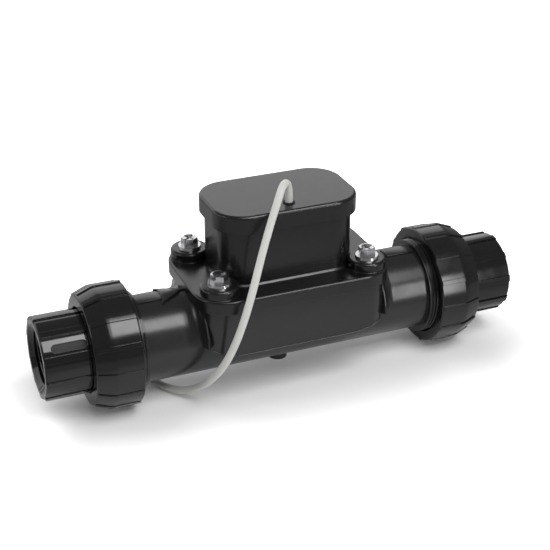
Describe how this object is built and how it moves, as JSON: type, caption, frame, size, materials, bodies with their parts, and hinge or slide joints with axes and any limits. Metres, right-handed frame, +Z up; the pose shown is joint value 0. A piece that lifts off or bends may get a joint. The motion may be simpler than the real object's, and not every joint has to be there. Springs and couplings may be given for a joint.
{
  "type": "irrigation flow sensor",
  "caption": "Inline irrigation flow sensor: straight pipe body with a paddle wheel, screwed-on oval sensor housing, ribbed pipe unions at both ends and a two-core lead.",
  "frame": {"origin": "on the surface that it stands on, under the middle of the pipe's centre line", "axes": "+X along the pipe with the flow, from inlet to outlet; -Y to the side where the cable comes down; +Z up through the sensor housing"},
  "size_m": [0.266, 0.1629, 0.1184],
  "materials": {
    "body_plastic": "satin black moulding",
    "cover_plastic": "satin black moulding",
    "union_plastic": "semi-gloss black moulding",
    "seal_rubber": "black rubber",
    "screw_steel": "bright stainless steel",
    "insert_brass": "turned brass",
    "wheel_plastic": "natural plastic",
    "bush_plastic": "white bearing plastic",
    "shaft_steel": "ground stainless steel",
    "magnet_metal": "plated magnet",
    "board_green": "green solder mask",
    "chip_black": "moulded package",
    "resin_black": "potting resin",
    "cable_jacket": "light grey jacket",
    "tie_plastic": "black strap",
    "core_red": "red insulation",
    "core_black": "black insulation"
  },
  "bodies": {
    "sensor_body": {"flow_body": "body_plastic", "cover_gasket": "seal_rubber", "cover": "cover_plastic", "lid": "cover_plastic", "cable_grommet": "seal_rubber", "cover_screws": "screw_steel", "threaded_inserts": "insert_brass", "inlet_o_ring": "seal_rubber", "outlet_o_ring": "seal_rubber", "rotor_carrier": "wheel_plastic", "shaft_bushes": "bush_plastic", "rotor_shaft": "shaft_steel", "circuit_board": "board_green", "hall_sensor": "chip_black", "potting": "resin_black", "cable_riser": "cable_jacket", "cable": "cable_jacket", "cable_coil": "cable_jacket", "coil_tie": "tie_plastic", "cable_tail": "cable_jacket", "lead_red": "core_red", "lead_black": "core_black"},
    "paddle_wheel": {"rotor": "wheel_plastic", "rotor_magnets": "magnet_metal"},
    "inlet_tail": {"inlet_tailpiece": "union_plastic"},
    "inlet_nut": {"inlet_union_nut": "union_plastic"},
    "outlet_tail": {"outlet_tailpiece": "union_plastic"},
    "outlet_nut": {"outlet_union_nut": "union_plastic"}
  },
  "joints": [
    {"name": "paddle_spin", "type": "hinge", "parent": "sensor_body", "child": "paddle_wheel", "pos_m": [0, 0, 0.03752], "axis": [0, -1, 0], "continuous": true},
    {"name": "inlet_pull", "type": "slide", "parent": "sensor_body", "child": "inlet_tail", "axis": [-1, 0, 0], "range_m": [0, 0.018]},
    {"name": "inlet_nut_turn", "type": "hinge", "parent": "inlet_tail", "child": "inlet_nut", "pos_m": [-0.097, 0, 0.03252], "axis": [-1, 0, 0], "range_deg": [0, 1800]},
    {"name": "outlet_pull", "type": "slide", "parent": "sensor_body", "child": "outlet_tail", "axis": [1, 0, 0], "range_m": [0, 0.018]},
    {"name": "outlet_nut_turn", "type": "hinge", "parent": "outlet_tail", "child": "outlet_nut", "pos_m": [0.097, 0, 0.03252], "axis": [1, 0, 0], "range_deg": [0, 1800]}
  ],
  "couplings": [
    {"joint": "inlet_pull", "follows": "inlet_nut_turn", "m_per_rad": 0.00057296},
    {"joint": "outlet_pull", "follows": "outlet_nut_turn", "m_per_rad": 0.00057296}
  ]
}
